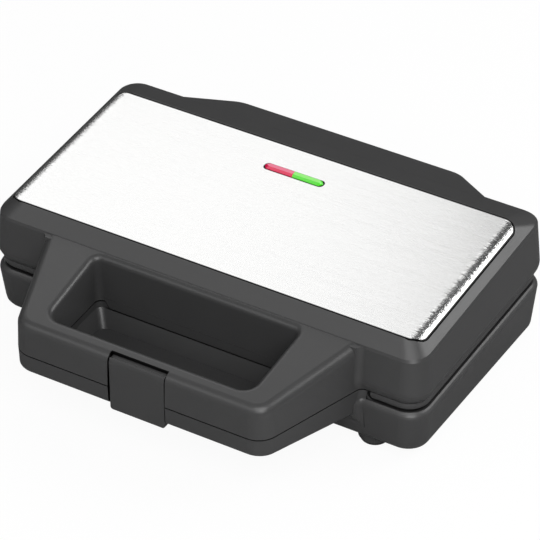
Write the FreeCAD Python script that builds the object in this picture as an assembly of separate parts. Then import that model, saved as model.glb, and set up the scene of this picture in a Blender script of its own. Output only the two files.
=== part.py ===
"""Sandwich maker: a hinged countertop cooker with two cast cooking plates.

Millimetres.  +X is to the right of someone who faces the handle, +Y points back to the hinge, +Z is up.
Everything is laid out around the parting plane of the two shells (height 0) and the centre of the steel
trim plate (depth 0), and moved at the end so that the origin is under the middle, on the table.
"""
import FreeCAD, Part
import math
import os

V = FreeCAD.Vector
ALONG_X = V(1, 0, 0)
ALONG_Y = V(0, 1, 0)
UP = V(0, 0, 1)

# Overall sizes: the lid's widest line, and how far the handle and the hinge housing stand out from it
lid_half = 150.9
lid_front = 75.6
lid_depth = 165.6
handle_reach = 70.45
hump_reach = 19.5

# Lid shell, from its widest line up to the crease and the flat top
lid_rear = lid_depth - lid_front
lid_corner = 15.0
lid_flare_z = 8.0
lid_edge_inset = 2.5
crease_in = 2.45
crease_rear_in = 2.5
crease_half = lid_half - crease_in
crease_front = lid_front - crease_in
crease_rear = lid_rear - crease_rear_in
crease_corner = 13.0
crease_z = 34.1
crease_soft = 1.1
bevel_in = 9.05
bevel_front_in = 8.95
bevel_rear_in = 23.3
bevel_high = 8.6
top_half = crease_half - bevel_in
top_front = crease_front - bevel_front_in
top_rear = crease_rear - bevel_rear_in
top_corner = 9.5
top_z = crease_z + bevel_high
top_slope_share = 0.039
parting_gap = 0.8
shell_wall = 2.4
rim_flange = 2.6
overrun = 2.0

# Opening in each shell that the cooking plate fills
opening_side_in = 14.9
opening_front_in = 13.6
opening_rear_in = 18.0
opening_half = lid_half - opening_side_in
opening_front = lid_front - opening_front_in
opening_rear = lid_rear - opening_rear_in
opening_corner = 14.0

# Base shell
base_in = 0.4
base_half = lid_half - base_in
base_front = lid_front - base_in
base_rear = lid_rear - base_in
base_corner = 14.8
base_widest_z = 11.0
base_edge_inset = 2.3
rim_band = 4.9
rim_bulge = 0.8
rim_end_round = 2.4
rim_groove = 2.1
rim_groove_deep = 2.4
rim_groove_wall = 1.8
base_draft_share = 0.079
base_depth = 39.8
base_slope_share = -0.033
base_bottom_round = 5.0
base_floor = 2.6
vent_length = 42.0
vent_width = 3.2
vent_pitch = 9.0
vent_x = 66.0
vent_y = 6.0
vent_count = 6

# Feet
foot_side_in = 38.0
foot_front_in = 16.0
foot_rear_in = 19.6
foot_x = base_half - foot_side_in
foot_front_y = base_front - foot_front_in
foot_rear_y = base_rear - foot_rear_in
foot_r = 9.4
foot_tip_r = 8.6
foot_edge_round = 1.4
foot_pad = 3.5
foot_post_r = 10.2
foot_post_drop = 2.7
foot_post_z = base_depth + foot_post_drop
foot_stem_r = 2.2
foot_stem = 4.0
foot_fit = 0.05

# Handle: a trapezoid loop, split by the parting plane
handle_front = lid_front + handle_reach
handle_front_half = 85.0
handle_root_in = 0.6
handle_root_y = lid_front - handle_root_in
handle_root_half = 109.0
arm_lean_share = (handle_root_half - handle_front_half) / (handle_front - handle_root_y)
handle_buried = 4.0
handle_corner = 14.0
handle_root_drop = 2.35
handle_root_z = crease_z - handle_root_drop
handle_fall_share = 0.132
handle_draft = 0.9
handle_draft_z = 26.0
handle_round = 6.0
handle_low = 13.1
handle_low_share = 0.078
handle_low_round = 3.0
handle_low_draft = 0.6
handle_under_round = 10.0
handle_under_in = 1.2
handle_root_round = 4.75
handle_wall = 2.6
handle_cover = 2.0
cover_lap = 1.2
cover_gap = 0.2

# Finger grip in the handle
grip_rear_in = 2.5
grip_front_in = 14.05
grip_root_side = 39.0
grip_front_side = 16.2
grip_rear_y = handle_root_y + grip_rear_in
grip_rear_half = handle_root_half - grip_root_side
grip_front_y = handle_front - grip_front_in
grip_front_half = handle_front_half - grip_front_side
grip_corner = 8.5
grip_rear_corner = 4.5
grip_round = 4.0
grip_floor = 2.2
grip_draft = 1.0
grip_low_lean_share = 0.5
grip_lip_deep = 4.4
grip_lip_side = 6.0
grip_lip_half = grip_rear_half - grip_lip_side
grip_lip_thick = 2.2
grip_lip_gap = 0.35
grip_lip_slant = 3.0

# Latch clip: a curved head on a pin, a front plate and a hook under the lower handle
latch_half = 18.9
latch_side_gap = 0.7
latch_plate = 3.2
latch_tail = 4.1
latch_tail_z = handle_low + latch_tail
latch_corner = 2.0
latch_edge_round = 0.5
latch_hook = 2.6
latch_hook_high = 2.2
latch_hook_gap = 0.4
latch_barrel_r = 3.2
latch_barrel_gap = 0.35
latch_back_gap = 0.45
latch_head_deg = 139.0
latch_slot_front = 0.6
latch_web_side = 3.0
latch_pin_r = 1.25
latch_pin_over = 3.4
pin_hold_gap = 0.02
pin_run_gap = 0.05

# Hinge housing behind the lid, with two base ears between lid lugs
hump_half = 107.0
hump_side = 28.0
hump_crest_half = hump_half - hump_side
hump_rear = lid_rear + hump_reach
hump_corner = 15.0
hump_round = 2.2
hinge_in = 9.5
hinge_y = hump_rear - hinge_in
hinge_drop = 5.0
hinge_z = -hinge_drop
hinge_r = 8.0
hinge_pin_r = 2.5
ear_inner_x = 46.0
ear_width = 12.0
lug_inner_width = 9.4
lug_outer_width = 7.4
hinge_side_gap = 0.6
hinge_pin_short = 0.5
ear_top_z = 1.0
ear_low_z = 33.0
ear_lean_deg = 35.0
ear_slot_top = 9.0
ear_slot_gap = 0.8

# Steel trim plate on the lid
trim_past_bend = 3.2
trim_edge_in = 1.0
trim_half = top_half + trim_past_bend
trim_depth_half = top_front - trim_edge_in
trim_corner = 9.0
trim_sheet = 0.8
trim_bend_r = 9.0
trim_gap = 0.6

# Indicator lenses, lamps and their holder
lens_half = 20.7
lens_half_width = 2.7
lens_point = 2.2
lens_from_edge = 23.9
lens_y = trim_depth_half - lens_from_edge
lens_proud = 1.7
lens_bevel = 1.3
lens_wall = 0.5
lens_stem = 4.4
lens_split = 0.12
lens_gap = 0.2
lamp_r = 2.6
lamp_length = 15.0
lamp_x = 11.0
lamp_drop = 8.6
holder_half = 25.0
holder_half_width = 6.0
holder_high = 9.0
holder_gap = 0.1

# Cooking plates: two squares, each cut into two triangular pockets
plate_gap = 0.8
plate_fit = 0.4
plate_flange_lap = 5.0
plate_flange = 3.0
pocket_inner = 6.0
pocket_side_in = 10.0
pocket_end_in = 7.0
pocket_ridge = 7.0
pocket_deep = 11.0
pocket_taper = 4.5
pocket_round = 12.0
pocket_floor_round = 7.5
pocket_wall = 3.0
post_r = 3.5
post_end_z = 22.0
post_side_in = 3.4
post_end_in = 12.0
post_side_x = opening_half - post_side_in
post_front_y = opening_front - post_end_in
post_rear_y = opening_rear - post_end_in
post_hole_r = 1.3
post_hole = 10.0

# Tubular heater under each plate
heater_r = 3.2
heater_lift = 0.1
heater_side_in = 38.0
heater_end_in = 28.0
heater_lead_in = 6.0
heater_half = opening_half - heater_side_in
heater_front = opening_front - heater_end_in
heater_back = opening_rear - heater_end_in
heater_lead_x = 20.0
heater_lead_y = opening_rear - heater_lead_in
heater_bend = 14.0
clamp_sheet = 0.8
clamp_width = 10.0
clamp_wing = 8.0
clamp_gap = 0.1
clamp_side_in = 36.0
clamp_x = heater_half - clamp_side_in

# Heat shield, screws and control parts
shield_sheet = 0.6
shield_side_over = 2.2
shield_end_over = 1.0
shield_half = opening_half + shield_side_over
shield_front = opening_front + shield_end_over
shield_rear = opening_rear + shield_end_over
shield_corner = 12.0
shield_lip = 7.0
shield_notch_half = 32.0
boss_r = 5.2
boss_seat = 8.0
boss_seat_z = post_end_z + boss_seat
boss_gap = 0.05
screw_r = 1.22
screw_clear_r = 1.8
screw_head_r = 3.2
screw_head = 2.4
screw_into_post = 8.0
counterbore_r = 3.7
driver_slot = 0.9
thermostat_r = 8.0
thermostat_cap_r = 6.2
thermostat_body = 4.0
thermostat_cap = 2.2
thermostat_x = 40.0
fuse_r = 2.0
fuse_half = 9.0
fuse_left = 40.0
control_lift = 0.05
terminal_left = 60.0
terminal_gap = 0.8
terminal_half = 14.0
terminal_half_deep = 5.0
terminal_y = shield_rear + terminal_gap + terminal_half_deep
terminal_high = 10.0
terminal_pole_r = 2.0
terminal_pole_pitch = 9.0
terminal_pad_high = 3.8
terminal_pad_z = base_depth - terminal_pad_high
bush_left = 95.0
bush_z = 24.0
bush_bore_r = 3.6
bush_r = 6.0
bush_flange_r = 8.6
bush_flange = 2.4
bush_inside = 7.0
bush_wall_gap = 0.08

half_gap = parting_gap / 2
top_angle = math.degrees(math.atan(top_slope_share))
table_z = -(foot_post_z + foot_pad)


def inset(points, gaps):
    """Polygon (counter-clockwise) with each side moved inwards by its own gap."""
    lines = []
    for i, (ax, ay) in enumerate(points):
        bx, by = points[(i + 1) % len(points)]
        size = math.hypot(bx - ax, by - ay)
        dx, dy = (bx - ax) / size, (by - ay) / size
        lines.append((ax - dy * gaps[i], ay + dx * gaps[i], dx, dy))
    moved = []
    for i in range(len(points)):
        px, py, pdx, pdy = lines[i - 1]
        qx, qy, qdx, qdy = lines[i]
        t = ((qx - px) * qdy - (qy - py) * qdx) / (pdx * qdy - pdy * qdx)
        moved.append((px + pdx * t, py + pdy * t))
    return moved


def rounded(points, radii, z):
    """Closed wire through the polygon's sides at one height, with an arc at each corner that has a radius."""
    starts, ends, mids = [], [], []
    for i, (x, y) in enumerate(points):
        before = V(points[i - 1][0] - x, points[i - 1][1] - y, 0).normalize()
        after_point = points[(i + 1) % len(points)]
        after = V(after_point[0] - x, after_point[1] - y, 0).normalize()
        corner = V(x, y, z)
        half_angle = before.getAngle(after) / 2
        reach = radii[i] / math.tan(half_angle)
        starts.append(corner + before * reach)
        ends.append(corner + after * reach)
        middle = (before + after).normalize()
        mids.append(corner + middle * (radii[i] / math.sin(half_angle) - radii[i]))
    edges = []
    for i in range(len(points)):
        if radii[i] > 0:
            edges.append(Part.Arc(starts[i], mids[i], ends[i]).toShape())
        edges.append(Part.makeLine(ends[i], starts[(i + 1) % len(points)]))
    return Part.Wire(edges)


def prism(wire, height):
    return Part.Face(wire).extrude(V(0, 0, height))


def box(x0, x1, y0, y1, z0, z1):
    return Part.makeBox(x1 - x0, y1 - y0, z1 - z0, V(x0, y0, z0))


def side_profile(points, x0, x1):
    """Solid with an outline in the Y-Z plane, from x0 to x1."""
    corners = [V(x0, y, z) for y, z in points]
    return Part.Face(Part.makePolygon(corners + corners[:1])).extrude(V(x1 - x0, 0, 0))


def rod(radius, x0, x1, y, z):
    return Part.makeCylinder(radius, x1 - x0, V(x0, y, z), ALONG_X)


def post(radius, x, y, z0, z1):
    return Part.makeCylinder(radius, z1 - z0, V(x, y, z0), UP)


def rectangle(half, front, rear):
    return [(-half, -front), (half, -front), (half, rear), (-half, rear)]


def level(section):
    """Wire of one level of a shell: half width, front, rear, corner radius, height and slope to the back."""
    half, front, rear, corner, z, slope = section
    wire = rounded(rectangle(half, front, rear), [corner] * 4, z)
    wire.rotate(V(0, 0, z), ALONG_X, math.degrees(math.atan(slope)))
    return wire


def between(a, b, share):
    return tuple(p + (q - p) * share for p, q in zip(a, b))


def shrunk(section, gap, z=None):
    half, front, rear, corner, height, slope = section
    return half - gap, front - gap, rear - gap, corner - gap / 2, height if z is None else z, slope


def stacked(sections):
    return Part.makeLoft([level(section) for section in sections], True, True)


def edge_curve(widest, inset_by, z_edge):
    """Levels of the gentle curve that draws a shell in from its widest line to its edge."""
    steps = 4
    rise = widest[4] - z_edge
    levels = []
    for i in range(steps + 1):
        share = 1 - i / steps
        levels.append(shrunk(widest, inset_by * share * share, widest[4] - rise * share))
    return levels


# Levels that both the outside and the inside of a shell use
lid_flare = (lid_half, lid_front, lid_rear, lid_corner, lid_flare_z, 0)
lid_crease = (crease_half, crease_front, crease_rear, crease_corner, crease_z, top_slope_share)
lid_top = (top_half, top_front, top_rear, top_corner, top_z, top_slope_share)
base_wide = (base_half, base_front, base_rear, base_corner, -base_widest_z, 0)
base_drawn_in = base_draft_share * (base_depth - base_widest_z)
base_low = shrunk(base_wide, base_drawn_in)[:4] + (-base_depth, base_slope_share)
opening = (opening_half, opening_front, opening_rear, opening_corner)


def handle_points(gap):
    """Plan of the handle, moved in by a gap; its root is buried in the body."""
    buried_y = handle_root_y - handle_buried
    buried_half = handle_root_half + arm_lean_share * handle_buried
    corners = [(-handle_front_half, -handle_front), (handle_front_half, -handle_front),
               (buried_half, -buried_y), (-buried_half, -buried_y)]
    return inset(corners, [gap, gap, 0, gap])


def handle_wire(gap, z):
    corner = handle_corner - gap
    return rounded(handle_points(gap), [corner, corner, 0, 0], z)


def grip_points(gap):
    corners = [(-grip_front_half, -grip_front_y), (grip_front_half, -grip_front_y),
               (grip_rear_half, -grip_rear_y), (-grip_rear_half, -grip_rear_y)]
    return inset(corners, [gap] * 4)


def grip_wire(gap, z):
    return rounded(grip_points(gap), [grip_corner] * 2 + [grip_rear_corner] * 2, z)


def handle_top(y):
    """Height of the handle's sloping top at a depth in front of the body."""
    return handle_root_z + handle_fall_share * (y + crease_front)


def under_handle_top(drop):
    """Everything in the handle's reach that lies a drop under its sloping top."""
    near, far = -handle_front - overrun, -handle_root_y + handle_buried
    low = -handle_low - overrun
    outline = [(near, low), (far, low), (far, handle_top(far) - drop), (near, handle_top(near) - drop)]
    return side_profile(outline, -handle_root_half - handle_buried, handle_root_half + handle_buried)


def handle_bottom(y):
    """Height of the handle's underside, which falls towards the body."""
    return -handle_low - handle_low_share * (y + handle_front)


def over_handle_bottom(lift):
    """Everything in the handle's reach that lies a lift over its sloping underside."""
    near, far = -handle_front - overrun, -handle_root_y + handle_buried
    outline = [(near, handle_bottom(near) + lift), (far, handle_bottom(far) + lift), (far, 0), (near, 0)]
    return side_profile(outline, -handle_root_half - handle_buried, handle_root_half + handle_buried)


# The latch turns about the centre of the handle's rounded front edge
latch_y = -handle_front + handle_draft * handle_top(-handle_front) / handle_draft_z + handle_round
latch_z = handle_top(latch_y) - handle_round / math.cos(math.atan(handle_fall_share))
latch_room_half = latch_half + latch_side_gap
latch_block_half = latch_room_half + latch_web_side
latch_back_y = latch_y - handle_round + latch_plate


def latch_room():
    """Space that the clip and its swing take out of both handle halves."""
    slot_y = latch_y - latch_slot_front
    head = box(-latch_room_half, latch_room_half, -handle_front - overrun, slot_y,
               latch_z - latch_barrel_r, latch_z + handle_round + overrun)
    plate = box(-latch_room_half, latch_room_half, -handle_front - overrun, latch_back_y + latch_back_gap,
                -handle_low - overrun, latch_z)
    barrel = rod(latch_barrel_r + latch_barrel_gap, -latch_room_half, latch_room_half, latch_y, latch_z)
    return head.fuse([plate, barrel])


def latch_clip():
    angle = math.radians(latch_head_deg)
    head_end = (latch_y + handle_round * math.cos(angle), latch_z + handle_round * math.sin(angle))
    half_turn = (angle + math.pi) / 2
    head_mid = (latch_y + handle_round * math.cos(half_turn), latch_z + handle_round * math.sin(half_turn))
    front_y = latch_y - handle_round
    hook_y = latch_back_y + latch_hook
    hook_top = handle_bottom(hook_y) - latch_hook_gap
    hook_low = hook_top - latch_hook_high
    x = -latch_half

    def at(point):
        return V(x, point[0], point[1])

    arc = Part.Arc(at(head_end), at(head_mid), at((front_y, latch_z))).toShape()
    rest = [(front_y, latch_z), (front_y, -latch_tail_z), (latch_back_y, -latch_tail_z),
            (latch_back_y, hook_low), (hook_y, hook_top - latch_hook_high / 2), (hook_y, hook_top),
            (latch_back_y, hook_top), (latch_back_y, latch_z), (latch_y, latch_z), head_end]
    edges = [arc] + [Part.makeLine(at(a), at(b)) for a, b in zip(rest, rest[1:])]
    clip = Part.Face(Part.Wire(edges)).extrude(V(2 * latch_half, 0, 0))
    clip = clip.fuse(rod(latch_barrel_r, -latch_half, latch_half, latch_y, latch_z))
    clip = clip.makeFillet(latch_corner, [e for e in clip.Edges if is_tail_corner(e)])
    front = [e for e in clip.Edges if all(abs(v.Y - front_y) < pin_hold_gap for v in e.Vertexes)
             and e.CenterOfMass.z < latch_z - handle_round]
    clip = clip.makeFillet(latch_edge_round, front)
    reach = latch_half + overrun
    return clip.cut(rod(latch_pin_r + pin_run_gap, -reach, reach, latch_y, latch_z))


def is_tail_corner(edge):
    """Edge across the clip's thickness at a lower corner of its front plate."""
    low = abs(edge.CenterOfMass.z + latch_tail_z) < parting_gap / 10
    side = abs(abs(edge.CenterOfMass.x) - latch_half) < parting_gap / 10
    return low and side


def latch_pin():
    reach = latch_room_half + latch_pin_over
    return rod(latch_pin_r, -reach, reach, latch_y, latch_z)


def on_slope(edge, height_at):
    """Whether both ends of an edge lie on a sloping plane given by its height at each depth."""
    return all(abs(v.Z - height_at(v.Y)) < parting_gap / 10 for v in edge.Vertexes)


def around_grip(edge):
    """Whether an edge of the handle's top belongs to the rim of the finger grip."""
    y = -edge.CenterOfMass.y
    inside = abs(edge.CenterOfMass.x) < grip_rear_half + 2 * grip_draft
    return inside and grip_rear_y - 2 * grip_draft < y < grip_front_y + 2 * grip_draft


def upper_handle():
    taller = handle_root_z * handle_draft / handle_draft_z
    solid = Part.makeLoft([handle_wire(0, half_gap), handle_wire(taller, handle_root_z)], True, True)
    solid = solid.common(under_handle_top(0))
    grip = Part.makeLoft([grip_wire(grip_draft, -overrun),
                          grip_wire(-grip_draft, handle_root_z + overrun)], True, True)
    solid = solid.cut(grip)
    rim = [e for e in solid.Edges if on_slope(e, handle_top) and around_grip(e)]
    solid = solid.makeFillet(grip_round, rim)
    buried_y = -handle_root_y + handle_buried / 2
    past_grip = grip_front_y + grip_round + 2 * grip_draft
    rim = [e for e in solid.Edges if on_slope(e, handle_top) and e.CenterOfMass.y < buried_y
           and (abs(e.CenterOfMass.x) > grip_rear_half + 2 * grip_round or e.CenterOfMass.y < -past_grip)]
    return solid.makeFillet(handle_round, rim)


handle_lowest_z = handle_bottom(-handle_root_y + handle_buried)


def lower_handle():
    solid = Part.makeLoft([handle_wire(handle_low_draft, handle_lowest_z), handle_wire(0, -half_gap)], True, True)
    solid = solid.common(over_handle_bottom(0))
    rim = [e for e in solid.Edges if on_slope(e, handle_bottom) and e.CenterOfMass.y < -handle_root_y]
    solid = solid.makeFillet(handle_low_round, rim)
    lip_z = -grip_lip_deep - grip_lip_gap
    leant = grip_draft + grip_low_lean_share * (lip_z - handle_lowest_z)
    grip = Part.makeLoft([grip_wire(leant, handle_lowest_z), grip_wire(grip_draft, lip_z),
                          grip_wire(grip_draft, 0)], True, True)
    return solid.cut(grip.common(over_handle_bottom(grip_floor)))


def root_underside(z_top):
    """Solid behind the concave curve that carries the handle's underside into the base's front wall."""
    r = handle_under_round
    wall_y = -base_front + handle_under_in
    mid_y, mid_z = wall_y - r, handle_bottom(wall_y - r) - r
    x = -handle_root_half - 2 * handle_buried
    bulge = r * math.sqrt(0.5)
    start, end = V(x, mid_y, mid_z + r), V(x, wall_y, mid_z)
    arc = Part.Arc(start, V(x, mid_y + bulge, mid_z + bulge), end).toShape()
    corners = [end, V(x, wall_y + overrun, mid_z), V(x, wall_y + overrun, z_top), V(x, mid_y, z_top), start]
    edges = [arc] + [Part.makeLine(a, b) for a, b in zip(corners, corners[1:])]
    return Part.Face(Part.Wire(edges)).extrude(V(-2 * x, 0, 0))


def underside_blend():
    deep = 2 * handle_under_round
    plan = prism(handle_wire(handle_low_round, handle_lowest_z - deep), deep + overrun)
    return root_underside(handle_lowest_z + overrun).common(plan)


def root_fillets(levels):
    """Concave blends between the arms' sides and the body's front wall, through levels of height,
    wall position and arm draft."""
    along = V(-arm_lean_share, -1, 0).normalize()
    half_angle = along.getAngle(ALONG_X) / 2
    reach = handle_root_round / math.tan(half_angle)
    rise = handle_root_round / math.sin(half_angle) - handle_root_round
    wires = []
    for z, wall_y, gap in levels:
        x = handle_root_half + arm_lean_share * (handle_root_y - wall_y) - gap
        corner = V(x, -wall_y, z)
        on_wall, on_arm = corner + ALONG_X * reach, corner + along * reach
        middle = corner + (along + ALONG_X).normalize() * rise
        inner_x, inner_y = on_arm.x - handle_buried, overrun - wall_y
        path = [on_arm, V(inner_x, on_arm.y, z), V(inner_x, inner_y, z), V(on_wall.x, inner_y, z), on_wall]
        edges = [Part.Arc(on_wall, middle, on_arm).toShape()]
        wires.append(Part.Wire(edges + [Part.makeLine(a, b) for a, b in zip(path, path[1:])]))
    right = Part.makeLoft(wires, True, True)
    return [right, right.mirror(V(0, 0, 0), ALONG_X)]


def upper_root_fillets():
    levels = [(s[4], s[1]) for s in edge_curve(lid_flare, lid_edge_inset, half_gap)]
    levels.append((crease_z - top_slope_share * crease_front, crease_front))
    return root_fillets([(z, wall_y, handle_draft * z / handle_draft_z) for z, wall_y in levels])


def lower_root_fillets():
    groove_low = -rim_band - rim_groove
    levels = [(-half_gap, base_front - base_edge_inset)]
    levels += [(s[4], s[1]) for s in edge_curve(base_wide, base_edge_inset, groove_low)]
    lowest = handle_lowest_z - handle_under_round
    levels.append((lowest, base_front + base_draft_share * (lowest + base_widest_z)))
    behind = root_underside(overrun)
    return [f.common(behind) for f in root_fillets([(z, wall_y, 0) for z, wall_y in levels])]


def handle_hollow(gap, z0, z1):
    """Space inside the handle's walls: around the finger grip and beside the latch."""
    outer = handle_points(gap)
    y_root = -handle_root_y - gap
    widened = arm_lean_share * (y_root - outer[1][1])
    trimmed = [outer[0], outer[1], (outer[1][0] + widened, y_root), (outer[0][0] - widened, y_root)]
    corner = handle_corner - gap
    ring = prism(rounded(trimmed, [corner, corner, 0, 0], z0), z1 - z0)
    ring = ring.cut(prism(grip_wire(-gap, z0), z1 - z0))
    ring = ring.cut(box(-latch_block_half, latch_block_half, -handle_front,
                        -grip_front_y - gap + overrun, z0, z1))
    return ring.cut(box(-handle_root_half, handle_root_half, -grip_rear_y - gap, -handle_root_y, z0, z1))


def arms(shape):
    """The two separate solids of a handle space, largest first."""
    return sorted(shape.Solids, key=lambda s: -s.Volume)[:2]


def lid_shell():
    wall_run = math.hypot(crease_z - lid_flare_z, lid_half - crease_half)
    bevel_run = math.hypot(top_z - crease_z, crease_half - top_half)
    skirt = stacked(edge_curve(lid_flare, lid_edge_inset, half_gap))
    upper = stacked([lid_flare, between(lid_flare, lid_crease, 1 - crease_soft / wall_run),
                     between(lid_crease, lid_top, crease_soft / bevel_run), lid_top])
    shell = skirt.fuse([upper, hump(), upper_handle()] + upper_root_fillets())
    shell = shell.cut([lid_cavity(), lid_opening(), hump_hollow(), trim_pocket(), latch_room()])
    hollow = handle_hollow(handle_wall, 0, handle_root_z).common(under_handle_top(handle_wall))
    rebate = handle_hollow(handle_wall - cover_lap, 0, half_gap + handle_cover)
    shell = shell.cut([hollow, rebate])
    shell = shell.fuse(lid_bosses() + hinge_lugs() + [grip_lip()])
    holes = screw_holes(1) + [lens_slot(lens_gap, top_z - shell_wall * 3)]
    pins = [rod(hinge_pin_r + pin_hold_gap, -reach, reach, hinge_y, hinge_z)
            for reach in [ear_inner_x + ear_width + hinge_side_gap + lug_outer_width + overrun]]
    reach = latch_room_half + latch_pin_over
    pins.append(rod(latch_pin_r + pin_hold_gap, -reach, reach, latch_y, latch_z))
    return shell.cut(holes + pins)


def lid_cavity():
    low = shrunk(lid_flare, shell_wall + lid_edge_inset / 2, half_gap + rim_flange)
    middle = shrunk(lid_crease, shell_wall)
    high = shrunk(lid_top, shell_wall, top_z - shell_wall - trim_sheet)
    return stacked([low, middle, high])


def lid_opening():
    half, front, rear, corner = opening
    wire = rounded(rectangle(half, front, rear), [corner] * 4, -overrun)
    return prism(wire, overrun + half_gap + rim_flange + overrun)


def rear_fall(y):
    """Height of the plane that falls from the rear edge of the top over the hinge housing."""
    z_top = top_z + top_slope_share * top_rear
    z_crease = crease_z + top_slope_share * crease_rear
    return z_top + (z_crease - z_top) * (y - top_rear) / (crease_rear - top_rear)


def hump_wire(gap, z):
    y0 = crease_rear - handle_buried
    lean = (hump_half - hump_crest_half) / (hump_rear - crease_rear)
    wide = hump_half + lean * handle_buried
    corners = [(-wide, y0), (wide, y0), (hump_crest_half, hump_rear), (-hump_crest_half, hump_rear)]
    return rounded(inset(corners, [0, gap, gap, gap]), [0, 0, hump_corner - gap, hump_corner - gap], z)


def under_rear_fall(drop):
    y0, y1 = crease_rear - handle_buried, hump_rear + overrun
    outline = [(y0, 0), (y1, 0), (y1, rear_fall(y1) - drop), (y0, rear_fall(y0) - drop)]
    return side_profile(outline, -lid_half, lid_half)


def hump():
    solid = prism(hump_wire(0, half_gap), top_z).common(under_rear_fall(0))
    buried_y = crease_rear - handle_buried / 2
    rim = [e for e in solid.Edges if on_slope(e, rear_fall) and e.CenterOfMass.y > buried_y]
    return solid.makeFillet(hump_round, rim)


def hump_hollow():
    """Room inside the hinge housing, open below, with a slot in its rear wall at each base ear."""
    inner = prism(hump_wire(shell_wall, 0), top_z).common(under_rear_fall(shell_wall))
    inner = inner.cut(box(-lid_half, lid_half, 0, lid_rear + overrun / 4, -overrun, top_z))
    slots = [box(x0 - ear_slot_gap, x0 + ear_width + ear_slot_gap, lid_rear, hump_rear + overrun,
                 -overrun, ear_slot_top) for x0 in (ear_inner_x, -ear_inner_x - ear_width)]
    return inner.fuse(slots)


def hinge_lug(x0, x1):
    """Lid lug: an eye on the hinge axis, hung from the roof of the hinge housing."""
    eye = rod(hinge_r, x0, x1, hinge_y, hinge_z)
    stem = side_profile([(hinge_y - hinge_r, hinge_z), (hinge_y + hinge_r, hinge_z),
                         (hinge_y + hinge_r, rear_fall(hinge_y + hinge_r) - shell_wall / 2),
                         (hinge_y - hinge_r, rear_fall(hinge_y - hinge_r) - shell_wall / 2)], x0, x1)
    return eye.fuse(stem)


def lug_spans():
    inner = ear_inner_x - hinge_side_gap
    outer = ear_inner_x + ear_width + hinge_side_gap
    right = [(inner - lug_inner_width, inner), (outer, outer + lug_outer_width)]
    return right + [(-b, -a) for a, b in right]


def hinge_lugs():
    return [hinge_lug(x0, x1) for x0, x1 in lug_spans()]


def base_ears():
    lean = math.radians(-ear_lean_deg)
    tangent = (hinge_y + hinge_r * math.cos(lean), hinge_z + hinge_r * math.sin(lean))
    wall_y = base_rear - base_drawn_in - shell_wall / 2
    outline = [(wall_y, -ear_top_z), (hinge_y, -ear_top_z), tangent, (wall_y, -ear_low_z)]
    ears = []
    for x0 in (ear_inner_x, -ear_inner_x - ear_width):
        ear = side_profile(outline, x0, x0 + ear_width)
        ears.append(ear.fuse(rod(hinge_r, x0, x0 + ear_width, hinge_y, hinge_z)))
    return ears


def hinge_pin(side):
    spans = sorted(abs(x) for span in lug_spans() for x in span)
    x0, x1 = spans[0] + hinge_pin_short, spans[-1] - hinge_pin_short
    x0, x1 = sorted((side * x0, side * x1))
    return rod(hinge_pin_r, x0, x1, hinge_y, hinge_z)


def grip_lip():
    """Lip of the upper half that laps over the lower half on the back wall of the grip."""
    y0 = -grip_rear_y - grip_draft
    low = grip_lip_half - grip_lip_slant
    top = half_gap + overrun
    outline = [V(-grip_lip_half, y0, top), V(-grip_lip_half, y0, 0), V(-low, y0, -grip_lip_deep),
               V(low, y0, -grip_lip_deep), V(grip_lip_half, y0, 0), V(grip_lip_half, y0, top)]
    face = Part.Face(Part.makePolygon(outline + outline[:1]))
    return face.extrude(V(0, grip_lip_thick, 0))


def base_shell():
    rim = shrunk(base_wide, base_edge_inset)
    groove_low = -rim_band - rim_groove
    band = stacked([shrunk(rim, rim_bulge, groove_low)] + rim_bead(rim))
    shoulder = stacked(edge_curve(base_wide, base_edge_inset, groove_low))
    wall = stacked(base_bottom() + [base_wide])
    groove = prism(level(shrunk(base_wide, -overrun, groove_low)), rim_groove)
    groove = groove.cut(prism(level(shrunk(rim, rim_groove_deep, groove_low)), rim_groove))
    groove_y = -base_front + base_edge_inset + rim_groove_deep
    bend_x = handle_root_half + handle_root_round + rim_groove + rim_end_round
    groove = groove.cut(box(-bend_x, bend_x, -lid_front - overrun, groove_y, groove_low - overrun, 0))
    shell = band.fuse([shoulder, wall]).cut([groove] + groove_ends(bend_x, groove_y))
    shell = shell.fuse([lower_handle(), underside_blend()] + lower_root_fillets())
    shell = shell.fuse(base_ears() + foot_posts())
    shell = shell.cut([base_cavity(), base_opening(), latch_room(), lip_room()])
    hollow = handle_hollow(handle_wall, handle_lowest_z, 0).common(over_handle_bottom(handle_wall))
    rebate = handle_hollow(handle_wall - cover_lap, -half_gap - handle_cover, 0)
    shell = shell.cut([hollow, rebate])
    shell = shell.fuse(base_bosses() + [terminal_pad()])
    bores = [rod(hinge_pin_r + pin_run_gap, -lid_half, lid_half, hinge_y, hinge_z)]
    bores += screw_holes(-1) + vents() + [bush_hole()]
    bores += [post(foot_stem_r + foot_fit, x, y, -foot_post_z - overrun, -foot_post_z + foot_stem + foot_fit)
              for x, y in foot_places()]
    return shell.cut(bores)


def rim_bead(rim):
    """Levels of the rounded bead round the top of the base, from below up."""
    steps = 6
    middle, half = -(half_gap + rim_band) / 2, (rim_band - half_gap) / 2
    levels = []
    for i in range(steps + 1):
        angle = math.pi * i / steps
        levels.append(shrunk(rim, rim_bulge * (1 - math.sin(angle)), middle - half * math.cos(angle)))
    return levels


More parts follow.
